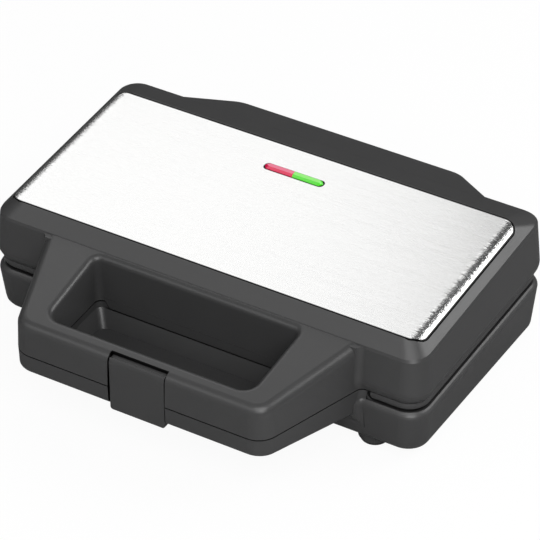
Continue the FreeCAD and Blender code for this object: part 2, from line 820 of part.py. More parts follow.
def groove_ends(bend_x, groove_y):
    """Ends of the groove under the bead: each turns up in a quarter ring beside the handle's root."""
    bend_z = -rim_band + rim_end_round
    deep = lid_front + groove_y
    centre = V(bend_x, -lid_front, bend_z)
    ring = Part.makeCylinder(rim_end_round + rim_groove, deep, centre, ALONG_Y)
    ring = ring.cut(Part.makeCylinder(rim_end_round, deep, centre, ALONG_Y))
    outer_x = bend_x - rim_end_round - rim_groove
    ring = ring.common(box(outer_x, bend_x, -lid_front, groove_y, -rim_band - rim_groove, bend_z))
    right = ring.fuse(box(outer_x, bend_x - rim_end_round, -lid_front, groove_y, bend_z, 0))
    return [right, right.mirror(V(0, 0, 0), ALONG_X)]


def base_bottom():
    """Levels of the rounded lower edge, from the flat bottom up."""
    steps = 4
    levels = []
    for i in range(steps + 1):
        angle = math.pi / 2 * (1 - i / steps)
        gap = base_bottom_round * (1 - math.cos(angle))
        lift = base_bottom_round * (1 - math.sin(angle))
        levels.append(shrunk(base_low, gap, -base_depth + lift))
    return levels


def base_cavity():
    high = shrunk(base_wide, base_edge_inset + rim_groove_deep + rim_groove_wall, -half_gap - rim_flange)
    low = shrunk(base_low, shell_wall + base_bottom_round / 2, -base_depth + base_floor)
    middle = shrunk(base_low, shell_wall, -base_depth + base_floor + base_bottom_round)
    return stacked([low, middle, high])


def base_opening():
    half, front, rear, corner = opening
    wire = rounded(rectangle(half, front, rear), [corner] * 4, -half_gap - rim_flange - overrun)
    return prism(wire, half_gap + rim_flange + 2 * overrun)


def lip_room():
    y0 = -grip_rear_y - grip_draft - overrun
    low = grip_lip_half - grip_lip_slant + grip_lip_gap
    wide = grip_lip_half + grip_lip_gap
    z_low = -grip_lip_deep - grip_lip_gap
    outline = [V(-wide, y0, overrun), V(wide, y0, overrun), V(wide, y0, 0), V(low, y0, z_low),
               V(-low, y0, z_low), V(-wide, y0, 0)]
    face = Part.Face(Part.makePolygon(outline + outline[:1]))
    return face.extrude(V(0, overrun + grip_lip_thick + grip_lip_gap, 0))


def foot_places():
    return [(x, y) for x in (-foot_x, foot_x) for y in (-foot_front_y, foot_rear_y)]


def foot_posts():
    floor = -base_depth + base_floor
    return [post(foot_post_r, x, y, -foot_post_z, floor + base_slope_share * y) for x, y in foot_places()]


def rubber_foot(x, y):
    pad = Part.makeCone(foot_tip_r, foot_r, foot_pad, V(x, y, table_z), UP)
    pad = pad.makeFillet(foot_edge_round, [e for e in pad.Edges if e.BoundBox.ZMax < table_z + foot_edge_round])
    return pad.fuse(post(foot_stem_r, x, y, -foot_post_z, -foot_post_z + foot_stem))


def vents():
    slots = []
    for side in (-1, 1):
        for i in range(vent_count):
            y = vent_y + (i - (vent_count - 1) / 2) * vent_pitch
            x0 = side * vent_x - vent_length / 2
            slots.append(box(x0, x0 + vent_length, y - vent_width / 2, y + vent_width / 2,
                             -base_depth - base_bottom_round, -base_depth + base_bottom_round))
    return slots


def post_places():
    side_y = (post_rear_y - post_front_y) / 2
    return [(-post_side_x, side_y), (post_side_x, side_y), (0, -post_front_y), (0, post_rear_y)]


def lid_bosses():
    roof = top_z - trim_sheet - shell_wall
    return [post(boss_r, x, y, post_end_z + shield_sheet + boss_gap, roof + top_slope_share * y)
            for x, y in post_places()]


def base_bosses():
    floor = -base_depth + base_floor - overrun / 2
    seat = -post_end_z - shield_sheet - boss_gap
    return [post(boss_r, x, y, floor + base_slope_share * y, seat) for x, y in post_places()]


def screw_holes(side):
    """Clearance bores with a counterbore for the head, through the lid (1) or base (-1) bosses."""
    holes = []
    for x, y in post_places():
        z_near, z_far = post_end_z - overrun, top_z + overrun + top_slope_share * y
        drill = post(screw_clear_r, x, y, z_near, z_far)
        holes.append(drill.fuse(post(counterbore_r, x, y, boss_seat_z, z_far)))
    return holes if side > 0 else [hole.mirror(V(0, 0, 0), UP) for hole in holes]


def plate_screws():
    screws = []
    for x, y in post_places():
        head = post(screw_head_r, x, y, boss_seat_z, boss_seat_z + screw_head)
        slot = box(x - screw_head_r, x + screw_head_r, y - driver_slot / 2, y + driver_slot / 2,
                   boss_seat_z + screw_head / 2, boss_seat_z + screw_head)
        shank = post(screw_r, x, y, post_end_z - screw_into_post, boss_seat_z)
        screws.append(head.cut(slot).fuse(shank))
    return Part.makeCompound(screws)


def pocket_triangles():
    """The four triangles of the cooking face, counter-clockwise, before ridges and rounding."""
    x0, x1 = pocket_inner, opening_half - pocket_side_in
    y0, y1 = pocket_end_in - opening_front, opening_rear - pocket_end_in
    front = [(x0, y0), (x1, y0), (x1, y1)]
    back = [(x0, y0), (x1, y1), (x0, y1)]
    mirrored = [[(-x, y) for x, y in reversed(tri)] for tri in (front, back)]
    return [front, back] + mirrored


def triangle_wire(triangle, gap, radius, z):
    gaps = []
    for i, (ax, ay) in enumerate(triangle):
        bx, by = triangle[(i + 1) % 3]
        slanted = abs(ax - bx) > 0 and abs(ay - by) > 0
        gaps.append(gap + pocket_ridge / 2 if slanted else gap)
    return rounded(inset(triangle, gaps), [radius] * 3, z)


def cooking_plate():
    """Cast plate with its cooking face up: flange, four tapered pockets and screw posts behind."""
    face_z = -plate_gap / 2
    floor_z = face_z - pocket_deep
    flange_top = -half_gap - rim_flange
    flange_low = flange_top - plate_flange
    half, front, rear, corner = opening
    slab = prism(rounded(rectangle(half - plate_fit, front - plate_fit, rear - plate_fit),
                         [corner - plate_fit] * 4, flange_low), face_z - flange_low)
    lap = plate_flange_lap
    rim = rounded(rectangle(half + lap, front + lap, rear + lap), [corner] * 4, flange_low)
    solid = slab.fuse(prism(rim, plate_flange))
    for triangle in pocket_triangles():
        floor = triangle_wire(triangle, pocket_taper - pocket_wall, pocket_floor_round + pocket_wall,
                              floor_z - pocket_wall)
        mouth = triangle_wire(triangle, -pocket_wall, pocket_round, flange_low)
        solid = solid.fuse(Part.makeLoft([floor, mouth], True, True))
    solid = solid.fuse([post(post_r, x, y, -post_end_z, flange_low) for x, y in post_places()])
    for triangle in pocket_triangles():
        pocket = Part.makeLoft([triangle_wire(triangle, pocket_taper, pocket_floor_round, floor_z),
                                triangle_wire(triangle, 0, pocket_round, face_z)], True, True)
        solid = solid.cut(pocket)
    return solid.cut([post(post_hole_r, x, y, -post_end_z - overrun, -post_end_z + post_hole)
                      for x, y in post_places()])


plate_back_z = -plate_gap / 2 - pocket_deep - pocket_wall
plate_mid_y = (opening_rear - opening_front) / 2
heater_z = plate_back_z - heater_lift - heater_r


def heating_element():
    """Tubular heater bent once round the plate, with both cold ends at the back."""
    corners = [(-heater_lead_x, heater_lead_y), (-heater_lead_x, heater_back), (-heater_half, heater_back),
               (-heater_half, -heater_front), (heater_half, -heater_front), (heater_half, heater_back),
               (heater_lead_x, heater_back), (heater_lead_x, heater_lead_y)]
    edges = []
    here = V(corners[0][0], corners[0][1], heater_z)
    for before, corner, after in zip(corners, corners[1:], corners[2:]):
        c = V(corner[0], corner[1], heater_z)
        back = V(before[0] - corner[0], before[1] - corner[1], 0).normalize()
        ahead = V(after[0] - corner[0], after[1] - corner[1], 0).normalize()
        start, end = c + back * heater_bend, c + ahead * heater_bend
        middle = c + (back + ahead) * (heater_bend * (1 - math.sqrt(0.5)))
        edges.append(Part.makeLine(here, start))
        edges.append(Part.Arc(start, middle, end).toShape())
        here = end
    edges.append(Part.makeLine(here, V(corners[-1][0], corners[-1][1], heater_z)))
    path = Part.Wire(edges)
    start = V(corners[0][0], corners[0][1], heater_z)
    ring = Part.Wire(Part.makeCircle(heater_r, start, ALONG_Y))
    return path.makePipeShell([ring], True, False)


def element_clamps():
    """Sheet straps that hold the heater against the back of the plate."""
    straps = []
    arch_r = heater_r + clamp_gap
    seat = plate_back_z - heater_lift
    for x in (-clamp_x, clamp_x):
        x0, x1 = x - clamp_width / 2, x + clamp_width / 2
        for y in (-heater_front, heater_back):
            outer_r = arch_r + clamp_sheet
            wing = arch_r + clamp_wing
            outer = rod(outer_r, x0, x1, y, heater_z)
            wings = box(x0, x1, y - wing, y + wing, seat - clamp_sheet, seat)
            sides = box(x0, x1, y - outer_r, y + outer_r, heater_z, seat)
            tunnel = rod(arch_r, x0 - overrun, x1 + overrun, y, heater_z)
            room = box(x0 - overrun, x1 + overrun, y - arch_r, y + arch_r, heater_z, heater_z + 2 * arch_r)
            straps.append(outer.fuse([wings, sides]).cut([tunnel, room]))
    return Part.makeCompound(straps)


def heat_shield():
    z_low = -post_end_z - shield_sheet
    outer = prism(rounded(rectangle(shield_half, shield_front, shield_rear), [shield_corner] * 4, z_low),
                  shield_sheet + shield_lip)
    s = shield_sheet
    inner = prism(rounded(rectangle(shield_half - s, shield_front - s, shield_rear - s),
                          [shield_corner - s] * 4, -post_end_z), shield_lip + overrun)
    notch = box(-shield_notch_half, shield_notch_half, shield_rear - overrun, shield_rear + overrun,
                -post_end_z, -post_end_z + shield_lip + overrun)
    drills = [post(screw_clear_r, x, y, z_low - overrun, -post_end_z + overrun) for x, y in post_places()]
    return outer.cut([inner, notch] + drills)


def thermostat():
    z_top = plate_back_z - control_lift
    body = post(thermostat_r, thermostat_x, plate_mid_y, z_top - thermostat_body, z_top)
    cap_z = z_top - thermostat_body
    return body.fuse(post(thermostat_cap_r, thermostat_x, plate_mid_y, cap_z - thermostat_cap, cap_z))


def thermal_fuse():
    z = plate_back_z - control_lift - fuse_r
    return rod(fuse_r, -fuse_left - fuse_half, -fuse_left + fuse_half, plate_mid_y, z)


def terminal_pad():
    floor = -base_depth + base_slope_share * terminal_y
    return box(-terminal_left - terminal_half, -terminal_left + terminal_half, terminal_y - terminal_half_deep,
               terminal_y + terminal_half_deep, floor, -terminal_pad_z)


def terminal_block():
    z0 = -terminal_pad_z
    block = box(-terminal_left - terminal_half, -terminal_left + terminal_half, terminal_y - terminal_half_deep,
                terminal_y + terminal_half_deep, z0, z0 + terminal_high)
    z_mid = z0 + terminal_high / 2
    poles = []
    for i in (-1, 0, 1):
        x = -terminal_left + i * terminal_pole_pitch
        front = V(x, terminal_y - terminal_half_deep, z_mid)
        poles.append(Part.makeCylinder(terminal_pole_r, 2 * terminal_half_deep, front, ALONG_Y))
        poles.append(post(terminal_pole_r, x, terminal_y, z_mid, z0 + terminal_high))
    return block.cut(poles)


bush_seat_y = base_rear - base_draft_share * (bush_z - bush_flange_r - base_widest_z)


def bush_hole():
    return Part.makeCylinder(bush_r + bush_wall_gap, 2 * bush_inside + overrun,
                             V(-bush_left, bush_seat_y - 2 * bush_inside, -bush_z), ALONG_Y)


def cord_bush():
    sleeve = Part.makeCylinder(bush_r, bush_inside, V(-bush_left, bush_seat_y - bush_inside, -bush_z), ALONG_Y)
    flange = Part.makeCylinder(bush_flange_r, bush_flange, V(-bush_left, bush_seat_y, -bush_z), ALONG_Y)
    bore = Part.makeCylinder(bush_bore_r, bush_inside + bush_flange + 2 * overrun,
                             V(-bush_left, bush_seat_y - bush_inside - overrun, -bush_z), ALONG_Y)
    return sleeve.fuse(flange).cut(bore)


def on_top_slope(shape):
    """Turns a piece drawn on a level lid top onto the real, slightly sloping one."""
    shape.rotate(V(0, 0, top_z), ALONG_X, top_angle)
    return shape


bevel_angle = math.atan2(top_z - crease_z, crease_half - top_half)


def trim_path(depth, end_x):
    """Points of the trim's section at a depth below its surface: flat middle, bend and bent-down end."""
    reach = trim_bend_r * math.tan(bevel_angle / 2)
    centre_x, centre_z = top_half - reach, top_z - trim_bend_r
    r = trim_bend_r - depth
    mid, end = bevel_angle / 2, bevel_angle
    flat = (centre_x, top_z - depth)
    bend_mid = (centre_x + r * math.sin(mid), centre_z + r * math.cos(mid))
    bend_end = (centre_x + r * math.sin(end), centre_z + r * math.cos(end))
    tip = (end_x, bend_end[1] - (end_x - bend_end[0]) * math.tan(bevel_angle))
    return flat, bend_mid, bend_end, tip


def trim_form(depth0, depth1, gap):
    """Trim-shaped solid between two depths, with its outline let out by a gap."""
    y0 = -trim_depth_half - gap
    edges = []

    def at(point, side):
        return V(side * point[0], y0, point[1])

    upper = trim_path(depth0, trim_half + gap)
    lower = trim_path(depth1, trim_half + gap)
    for path in (upper, lower):
        flat, bend_mid, bend_end, tip = path
        edges.append(Part.makeLine(at(flat, -1), at(flat, 1)))
        for side in (-1, 1):
            edges.append(Part.Arc(at(flat, side), at(bend_mid, side), at(bend_end, side)).toShape())
            edges.append(Part.makeLine(at(bend_end, side), at(tip, side)))
    for side in (-1, 1):
        edges.append(Part.makeLine(at(upper[3], side), at(lower[3], side)))
    wire = Part.Wire(Part.__sortEdges__(edges))
    sheet = Part.Face(wire).extrude(V(0, 2 * (trim_depth_half + gap), 0))
    outline = rounded(rectangle(trim_half + gap, trim_depth_half + gap, trim_depth_half + gap),
                      [trim_corner + gap] * 4, crease_z - overrun)
    return on_top_slope(sheet.common(prism(outline, top_z)))


def trim_pocket():
    return trim_form(-overrun, trim_sheet, trim_gap)


def trim_plate():
    return trim_form(0, trim_sheet, 0).cut(lens_slot(lens_gap, top_z - shell_wall))


def lens_points(gap):
    half, width = lens_half - gap, lens_half_width - gap
    shoulder = half - lens_point
    return [(-half, lens_y), (-shoulder, lens_y - width), (shoulder, lens_y - width), (half, lens_y),
            (shoulder, lens_y + width), (-shoulder, lens_y + width)]


def lens_outline(gap, z):
    return rounded(lens_points(gap), [lens_wall] * 6, z)


def lens_slot(gap, z0):
    return on_top_slope(prism(lens_outline(-gap, z0), top_z + overrun - z0))


def lens(side):
    stem = prism(lens_outline(0, top_z - lens_stem), lens_stem + lens_proud - lens_bevel)
    roof = Part.makeLoft([lens_outline(0, top_z + lens_proud - lens_bevel),
                          lens_outline(lens_bevel, top_z + lens_proud)], True, True)
    x0, x1 = sorted((side * lens_split / 2, side * (lens_half + overrun)))
    y0, y1 = lens_y - holder_half_width, lens_y + holder_half_width
    half = box(x0, x1, y0, y1, top_z - lens_stem, top_z + overrun)
    return on_top_slope(stem.fuse(roof).common(half))


def lamp_holder():
    """Cradle under the lid's top with a chamber for each lamp."""
    z1 = top_z - trim_sheet - shell_wall - holder_gap
    z0 = z1 - holder_high
    block = box(-holder_half, holder_half, lens_y - holder_half_width, lens_y + holder_half_width, z0, z1)
    room = lens_half_width + 2 * lens_gap
    chambers = []
    for side in (-1, 1):
        reach = lamp_length / 2 + lens_gap
        x0, x1 = side * lamp_x - reach, side * lamp_x + reach
        chambers.append(rod(lamp_r + holder_gap, x0, x1, lens_y, top_z - lamp_drop))
        chambers.append(box(x0, x1, lens_y - room, lens_y + room, top_z - lamp_drop, z1 + overrun))
    slot = prism(lens_outline(-lens_gap, top_z - lens_stem - lens_gap), lens_stem)
    return on_top_slope(block.cut(chambers + [slot]))


def neon_lamp(side):
    x0 = side * lamp_x - lamp_length / 2
    return on_top_slope(rod(lamp_r, x0, x0 + lamp_length, lens_y, top_z - lamp_drop))


def handle_covers(side):
    """Flat plates that close the hollow handle half of the lid (1) or base (-1) at the parting plane."""
    z0 = half_gap if side > 0 else -half_gap - handle_cover
    return Part.makeCompound(arms(handle_hollow(handle_wall - cover_lap + cover_gap, z0, z0 + handle_cover)))


def flipped(shape):
    return shape.mirror(V(0, 0, 0), UP)


def build():
    parts = {
        "base_shell": base_shell(),
        "lower_cooking_plate": cooking_plate(),
        "lower_heating_element": heating_element(),
        "lower_element_clamps": element_clamps(),
        "lower_heat_shield": heat_shield(),
        "lower_plate_screws": flipped(plate_screws()),
        "lower_handle_covers": handle_covers(-1),
        "thermostat": thermostat(),
        "thermal_fuse": thermal_fuse(),
        "terminal_block": terminal_block(),
        "cord_bush": cord_bush(),
        "lid_shell": lid_shell(),
        "steel_trim_plate": trim_plate(),
        "red_lens": lens(-1),
        "green_lens": lens(1),
        "lamp_holder": lamp_holder(),
        "left_neon_lamp": neon_lamp(-1),
        "right_neon_lamp": neon_lamp(1),
        "upper_cooking_plate": flipped(cooking_plate()),
        "upper_heating_element": flipped(heating_element()),
        "upper_element_clamps": flipped(element_clamps()),
        "upper_heat_shield": flipped(heat_shield()),
        "upper_plate_screws": plate_screws(),
        "upper_handle_covers": handle_covers(1),
        "left_hinge_pin": hinge_pin(-1),
        "right_hinge_pin": hinge_pin(1),
        "latch_pin": latch_pin(),
        "latch_clip": latch_clip(),
    }
    for x, y in foot_places():
        name = "%s_%s_foot" % ("front" if y < 0 else "rear", "left" if x < 0 else "right")
        parts[name] = rubber_foot(x, y)
    return parts


def main():
    os.makedirs("parts", exist_ok=True)
    home = V(0, (handle_front - hump_rear) / 2, -table_z)
    for name, shape in build().items():
        shape.translate(home)
        shape.exportStep("parts/%s.step" % name)


main()
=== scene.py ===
"""Sandwich maker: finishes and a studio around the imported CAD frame."""
import math

import bpy
from bpy.props import FloatProperty, FloatVectorProperty, PointerProperty
from bpy.types import Operator, Panel, PropertyGroup
from mathutils import Matrix, Vector

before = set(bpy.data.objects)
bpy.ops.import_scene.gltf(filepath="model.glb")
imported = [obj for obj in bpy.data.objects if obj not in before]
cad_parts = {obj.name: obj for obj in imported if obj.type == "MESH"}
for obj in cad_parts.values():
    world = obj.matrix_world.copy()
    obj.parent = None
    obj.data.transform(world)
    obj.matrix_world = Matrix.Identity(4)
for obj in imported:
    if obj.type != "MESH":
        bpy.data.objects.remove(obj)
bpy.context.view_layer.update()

bl_info = {
    "name": "Sandwich Maker Dressing",
    "version": (1, 0, 0),
    "blender": (4, 5, 0),
    "location": "View3D > Sidebar > Sandwich Maker",
    "description": "Finishes and a studio for the packed sandwich maker",
    "category": "Object",
}

MOULDED_SHELLS = ("lid_shell", "base_shell", "upper_handle_covers", "lower_handle_covers")
TRIM_PLATE = "steel_trim_plate"
LENSES = ("red_lens", "green_lens")
NEON_LAMPS = ("left_neon_lamp", "right_neon_lamp")
RUBBER_PIECES = ("front_left_foot", "front_right_foot", "rear_left_foot", "rear_right_foot", "cord_bush")
COOKING_PLATES = ("lower_cooking_plate", "upper_cooking_plate")
HEATERS = ("lower_heating_element", "upper_heating_element")
FOLDED_SHEETS = ("lower_heat_shield", "upper_heat_shield", "lower_element_clamps", "upper_element_clamps")
BRIGHT_PIECES = ("lower_plate_screws", "upper_plate_screws", "left_hinge_pin", "right_hinge_pin", "latch_pin",
                 "thermal_fuse")
CERAMIC_PIECES = ("terminal_block", "thermostat")

WHITE = (1, 1, 1, 1)

# Boxes around walls where shade is painted: the room behind the clip, and the lap joint in the grip
PAINTED_SHADE_ROOMS = (((-0.01965, -0.1300, 0.030), (0.01965, -0.12155, 0.0686)),
              ((-0.0640, -0.0620, 0.04105), (0.0640, -0.0575, 0.0419)))
ROOM_BORDER = 0.0001

# Painted shade: share of its colour that a surface keeps in a joint, in a dark room, at the rim of the trim plate
# and beside a lens
JOINT_SHADE = 0.05
ROOM_SHADE = 0.03
EDGE_SHADE = 0.02
LENS_SHADE = 0.1

# Painted shade in joints: how near the opposite wall of a joint is, and how open a place is where its shade is full
# and where it ends
JOINT_REACH = 0.0035
LENS_REACH = 0.0012
JOINT_OPENNESS = (0.25, 0.75)
JOINT_SAMPLES = 8

# Trim plate in plan: its corners, the bands of painted shade at its rim and round the lens slot, and its bent ends
TRIM_CORNER = 0.009
RIM_SHADE_SPAN = (0.0080, 0.0085)
LENS_CORNER = 0.0024
SLOT_SHADE_SPAN = (0.0032, 0.0028)
BEND_START, BEND_FULL = 0.0095, 0.005

# Brush lines at the bent ends, and the share of the plate's roughness there
BEND_LINE_LENGTH, BEND_LINE_WIDTH = 0.006, 0.0004
BEND_LEAN = 1.5
BEND_ROUGHNESS = 0.85

# Painted highlight on a lens: upward part of the normal on a lens, from its slanting sides to its flat top
LENS_TOP_HIGHLIGHT = (0.85, 0.97)

# Finish groups: the middle of a noise, and the share of the fine grain beside the slow drift
NOISE_MIDDLE = 0.5
GRAIN_SHARE = 0.35

# Camera: sensor in millimetres, nearest and farthest distance in metres
SENSOR_WIDTH = 36.0
CLIP_START, CLIP_END = 0.05, 50.0

# Floor: corners of its outline, its drop under the feet and its paint
FLOOR_CORNERS = 96
FLOOR_DROP = 0.0002
FLOOR_PAINT = (0.92, 0.92, 0.92, 1)

# Painted pool of light on the floor, seen only in reflections: where it lies, its distances, and its level inside
# and outside
GLOW_PLACE = (0.22, -0.22, 0)
GLOW_REACH = (0.06, 0.18)
GLOW_INSIDE, GLOW_OUTSIDE = 0.42, 0.16

# Room in reflections: dark below, paler overhead and towards the front, with a pale band low behind
ROOM_DARK = 0.02
ROOM_FORWARD = 0.6
ROOM_RISE = (0.25, 0.55)
BAND_LEVEL = 0.36
BAND_BEHIND = (0.2, 0.5)
BAND_LOW = (0.12, 0.26)
BAND_HIGH = (0.36, 0.50)

# Light panels: name, property with its power, place, point that it faces, width, length and roll
LIGHT_TARGET = (0.0, 0.0, 0.05)
LIGHT_PANELS = (
    ("Back Panel", "back_panel", (-0.96, 1.15, 1.2), (-0.96, 1.15, 0.0), 1.08, 1.4, math.radians(20)),
    ("Right Panel", "right_panel", (0.84, 0.6, 0.77), LIGHT_TARGET, 1.05, 0.55, math.radians(-40)),
    ("Front Panel", "front_panel", (0.9, -1.17, 1.03), LIGHT_TARGET, 0.9, 0.9, 0.0),
    ("Side Panel", "side_panel", (-0.5, -1.0, 0.95), LIGHT_TARGET, 1.4, 0.6, 0.0),
    ("Corner Panel", "corner_panel", (0.47, -0.62, 1.12), LIGHT_TARGET, 1.0, 0.45, math.radians(-14)),
)


class SandwichFinish(PropertyGroup):
    """Colours and grain of the finishes."""

    plastic: FloatVectorProperty(
        name="Shell plastic", description="Colour of the satin moulded shells",
        default=(0.044, 0.044, 0.0445), size=3, subtype="COLOR", min=0, max=1)
    plastic_roughness: FloatProperty(
        name="Shell roughness", description="Roughness of the satin moulded shells",
        default=0.34, min=0, max=1, subtype="FACTOR")
    plastic_grain: FloatProperty(
        name="Shell grain", description="Size of the spark-eroded grain on the shells",
        default=0.0006, unit="LENGTH")
    steel: FloatVectorProperty(
        name="Trim steel", description="Colour of the brushed trim plate",
        default=(0.78, 0.78, 0.775), size=3, subtype="COLOR", min=0, max=1)
    steel_roughness: FloatProperty(
        name="Trim roughness", description="Roughness of the brushed trim plate",
        default=0.24, min=0, max=1, subtype="FACTOR")
    brush_length: FloatProperty(
        name="Brush length", description="Length of the brush lines on the trim plate",
        default=0.03, unit="LENGTH")
    brush_width: FloatProperty(
        name="Brush width", description="Width of the brush lines on the trim plate",
        default=0.0004, unit="LENGTH")
    red: FloatVectorProperty(
        name="Red lens", description="Tint of the power lens",
        default=(0.58, 0.006, 0.06), size=3, subtype="COLOR", min=0, max=1)
    # Painted highlight on the flat top of the power lens
    red_top_highlight: FloatVectorProperty(
        name="Red lens top", description="Paler tint of the power lens on its flat top",
        default=(0.62, 0.11, 0.20), size=3, subtype="COLOR", min=0, max=1)
    green: FloatVectorProperty(
        name="Green lens", description="Tint of the ready lens",
        default=(0.06, 0.58, 0.012), size=3, subtype="COLOR", min=0, max=1)
    # Painted highlight on the flat top of the ready lens
    green_top_highlight: FloatVectorProperty(
        name="Green lens top", description="Paler tint of the ready lens on its flat top",
        default=(0.20, 0.66, 0.10), size=3, subtype="COLOR", min=0, max=1)
    coating: FloatVectorProperty(
        name="Plate coating", description="Colour of the non-stick coating",
        default=(0.028, 0.027, 0.027), size=3, subtype="COLOR", min=0, max=1)
    rubber: FloatVectorProperty(
        name="Rubber", description="Colour of the feet and of the cord bush",
        default=(0.034, 0.034, 0.034), size=3, subtype="COLOR", min=0, max=1)


class SandwichStudio(PropertyGroup):
    """Camera, floor and lamps."""

    camera_place: FloatVectorProperty(
        name="Camera", description="Where the camera stands",
        default=(0.80688, -1.362215, 1.26648), size=3, subtype="TRANSLATION", unit="LENGTH")
    camera_azimuth: FloatProperty(
        name="Azimuth", description="Turn of the camera from the front to the right",
        default=math.radians(30.128), subtype="ANGLE")
    camera_elevation: FloatProperty(
        name="Elevation", description="Height of the camera above the horizon",
        default=math.radians(37.428), subtype="ANGLE")
    camera_lens: FloatProperty(
        name="Focal length", description="Focal length on the camera's sensor, in millimetres",
        default=218.25, min=1)
    floor_radius: FloatProperty(
        name="Floor radius", description="Radius of the pale floor",
        default=0.9, unit="LENGTH")
    floor_shadow: FloatProperty(
        name="Floor shadow", description="Share of the floor that shows the shadow",
        default=0.06, min=0, max=1, subtype="FACTOR")
    room_fill: FloatProperty(
        name="Room fill", description="Light that the white room gives to matte surfaces",
        default=0.32, min=0)
    room_gloss: FloatProperty(
        name="Room gloss", description="Brightness of the room in reflections",
        default=0.26, min=0)
    back_panel: FloatProperty(
        name="Back panel", description="Power of the overhead panel behind on the left",
        default=6.2, min=0, unit="POWER")
    right_panel: FloatProperty(
        name="Right panel", description="Power of the long panel on the right",
        default=7.3, min=0, unit="POWER")
    front_panel: FloatProperty(
        name="Front panel", description="Power of the soft panel beside the camera",
        default=11.0, min=0, unit="POWER")
    side_panel: FloatProperty(
        name="Side panel", description="Power of the weak panel in front on the left",
        default=3.0, min=0, unit="POWER")
    corner_panel: FloatProperty(
        name="Corner panel", description="Power of the small panel over the right front corner",
        default=4.2, min=0, unit="POWER")


def add_node(tree, kind, inputs=None, **settings):
    """New node with its settings and its sockets set, or linked where a socket is given."""
    node = tree.nodes.new(kind)
    for name, value in settings.items():
        setattr(node, name, value)
    for key, value in (inputs or {}).items():
        if isinstance(value, bpy.types.NodeSocket):
            tree.links.new(value, node.inputs[key])
        else:
            node.inputs[key].default_value = value
    return node


def maths(tree, operation, a, b):
    return add_node(tree, "ShaderNodeMath", {0: a, 1: b}, operation=operation).outputs[0]


def vector_maths(tree, operation, *inputs):
    return add_node(tree, "ShaderNodeVectorMath", dict(enumerate(inputs)), operation=operation).outputs[0]


def scaled(tree, colour, level):
    return add_node(tree, "ShaderNodeVectorMath", {0: colour, "Scale": level}, operation="SCALE").outputs[0]


def ramp(tree, value, start, end, low=0.0, high=1.0):
    """Goes from low to high while a value goes from start to end, and stays level outside them."""
    return add_node(tree, "ShaderNodeMapRange", {
        "Value": value, "From Min": start, "From Max": end, "To Min": low, "To Max": high}).outputs[0]


def axes_of(tree, vector):
    return add_node(tree, "ShaderNodeSeparateXYZ", {0: vector}).outputs


def object_place(tree):
    return add_node(tree, "ShaderNodeTexCoord").outputs["Object"]


def mirrored_rays(tree, ray):
    """Mask of the rays that come from a reflection or through glass."""
    return maths(tree, "MAXIMUM", ray.outputs["Is Glossy Ray"], ray.outputs["Is Transmission Ray"])


def mixed_shader(tree, share, first, second):
    return add_node(tree, "ShaderNodeMixShader", {0: share, 1: first.outputs[0], 2: second.outputs[0]})


def finish_group(name, values):
    """Shader node group of a finish, with its inputs and their usual values; gives the group and its two ends."""
    group = bpy.data.node_groups.new(name, "ShaderNodeTree")
    group.interface.new_socket(name="Vector", in_out="INPUT", socket_type="NodeSocketVector")
    sockets = [("INPUT", label, value) for label, value in values.items()]
    sockets += [("OUTPUT", label, None) for label in ("Colour", "Roughness", "Height")]
    for side, label, value in sockets:
        kind = "NodeSocketColor" if label == "Colour" else "NodeSocketFloat"
        socket = group.interface.new_socket(name=label, in_out=side, socket_type=kind)
        if value is not None:
            socket.default_value = value
    return group, group.nodes.new("NodeGroupInput").outputs, group.nodes.new("NodeGroupOutput").inputs


def drift_with(group, given, result, noise, height):
    """Lets the colour and the roughness of a finish group drift with a noise, and gives it its height."""
    level = maths(group, "SUBTRACT", noise, NOISE_MIDDLE)
    tint = maths(group, "ADD", maths(group, "MULTIPLY", level, given["Colour Drift"]), 1.0)
    gloss = maths(group, "ADD", maths(group, "MULTIPLY", level, given["Roughness Drift"]), given["Roughness"])
    group.links.new(scaled(group, given["Colour"], tint), result["Colour"])
    group.links.new(gloss, result["Roughness"])
    group.links.new(height, result["Height"])


def moulded_grain():
    """Grain of a moulded or cast skin, with a slow drift of colour and gloss under it."""
    name = "Moulded Grain"
    if name in bpy.data.node_groups:
        return bpy.data.node_groups[name]
    group, given, result = finish_group(name, {
        "Colour": (0.5, 0.5, 0.5, 1), "Colour Drift": 0.1, "Roughness": 0.4, "Roughness Drift": 0.1,
        "Grain Size": 0.0006, "Drift Size": 0.03})
    grain = add_node(group, "ShaderNodeTexNoise", {
        "Vector": given["Vector"], "Scale": maths(group, "DIVIDE", 1.0, given["Grain Size"]),
        "Detail": 2.0, "Roughness": 0.6}).outputs["Fac"]
    drift = add_node(group, "ShaderNodeTexNoise", {
        "Vector": given["Vector"], "Scale": maths(group, "DIVIDE", 1.0, given["Drift Size"]),
        "Detail": 3.0, "Roughness": 0.55}).outputs["Fac"]
    mixed = maths(group, "ADD", maths(group, "MULTIPLY", grain, GRAIN_SHARE),
                  maths(group, "MULTIPLY", drift, 1.0 - GRAIN_SHARE))
    drift_with(group, given, result, mixed, grain)
    return group


def brushed_lines():
    """Lines that a brush, a drawing die or a lathe leaves along one direction."""
    name = "Brushed Lines"
    if name in bpy.data.node_groups:
        return bpy.data.node_groups[name]
    group, given, result = finish_group(name, {
        "Colour": (0.7, 0.7, 0.7, 1), "Colour Drift": 0.1, "Roughness": 0.3, "Roughness Drift": 0.1,
        "Line Length": 0.05, "Line Width": 0.0005})
    along = maths(group, "DIVIDE", 1.0, given["Line Length"])
    across = maths(group, "DIVIDE", 1.0, given["Line Width"])
    spread = add_node(group, "ShaderNodeCombineXYZ", {"X": along, "Y": across, "Z": across}).outputs[0]
    lines = add_node(group, "ShaderNodeTexNoise", {
        "Vector": vector_maths(group, "MULTIPLY", given["Vector"], spread),
        "Scale": 1.0, "Detail": 3.0, "Roughness": 0.7}).outputs["Fac"]
    drift_with(group, given, result, lines, lines)
    return group


